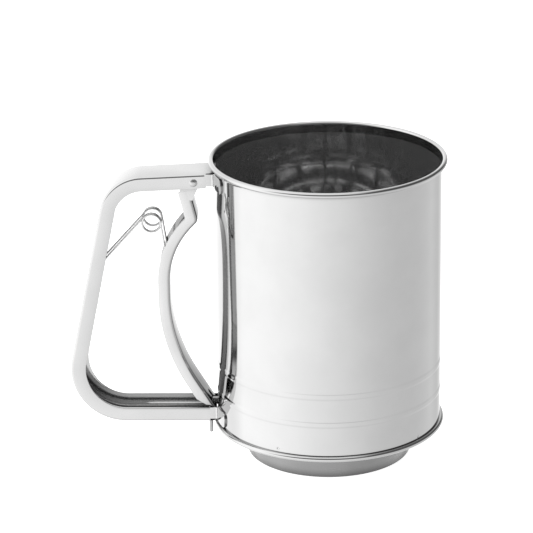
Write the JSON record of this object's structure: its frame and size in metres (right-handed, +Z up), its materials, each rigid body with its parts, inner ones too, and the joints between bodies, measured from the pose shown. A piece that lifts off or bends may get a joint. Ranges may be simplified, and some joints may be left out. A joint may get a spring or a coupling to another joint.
{
  "type": "flour sifter",
  "caption": "Steel canister flour sifter with a D handle, a sprung squeeze trigger, a drive rod, and a pivoting agitator over a round screen.",
  "frame": {"origin": "on the canister's axis, in the plane of the foot collar's bottom edge", "axes": "+Z up out of the open mouth, +X away from the handle, handle and trigger along -X"},
  "size_m": [0.1708, 0.107, 0.14],
  "materials": {
    "polished_canister": "polished stainless steel",
    "polished_pan": "polished stainless steel",
    "satin_collar": "satin stainless steel",
    "screen_wire": "drawn wire mesh",
    "plain_steel": "bright steel",
    "polished_handle": "polished stainless steel",
    "polished_trigger": "polished stainless steel",
    "spring_wire": "bright drawn spring wire",
    "rod_wire": "bright drawn wire",
    "agitator_steel": "rolled stainless sheet"
  },
  "bodies": {
    "frame": {"canister_body": "polished_canister", "rim_wire": "plain_steel", "bottom_pan": "polished_pan", "foot_collar": "satin_collar", "sifting_screen": "screen_wire", "screen_clamp_ring": "plain_steel", "support_bridge": "plain_steel", "pivot_pin": "plain_steel", "centre_washer": "plain_steel", "retaining_washer": "plain_steel", "cap_nut": "plain_steel", "handle_channel": "polished_handle", "pivot_rivet": "plain_steel", "pivot_washers": "plain_steel", "return_spring": "spring_wire"},
    "squeeze_trigger": {"trigger": "polished_trigger"},
    "rod": {"drive_rod": "rod_wire", "rod_eye": "plain_steel"},
    "agitator": {"agitator_hub": "plain_steel", "lower_blade": "agitator_steel", "upper_blade": "agitator_steel", "crank_arm": "agitator_steel", "crank_pin": "plain_steel", "hub_rivets": "plain_steel"}
  },
  "joints": [
    {"name": "trigger_squeeze", "type": "hinge", "parent": "frame", "child": "squeeze_trigger", "pos_m": [-0.0598, 0, 0.1304], "axis": [0, 1, 0], "range_deg": [0, 15], "stiffness_Nm_per_rad": 1.5, "springref_deg": -14.32, "deforming": ["return_spring"]},
    {"name": "rod_slide", "type": "slide", "parent": "frame", "child": "rod", "axis": [-1, 0, 0], "range_m": [0, 0.02892]},
    {"name": "agitator_spin", "type": "hinge", "parent": "frame", "child": "agitator", "pos_m": [0, 0, 0.018], "axis": [0, 0, 1], "range_deg": [0, 69.1]}
  ],
  "couplings": [
    {"joint": "rod_slide", "follows": "trigger_squeeze", "m_per_rad": 0.11039},
    {"joint": "agitator_spin", "follows": "trigger_squeeze", "ratio": 4.6}
  ]
}
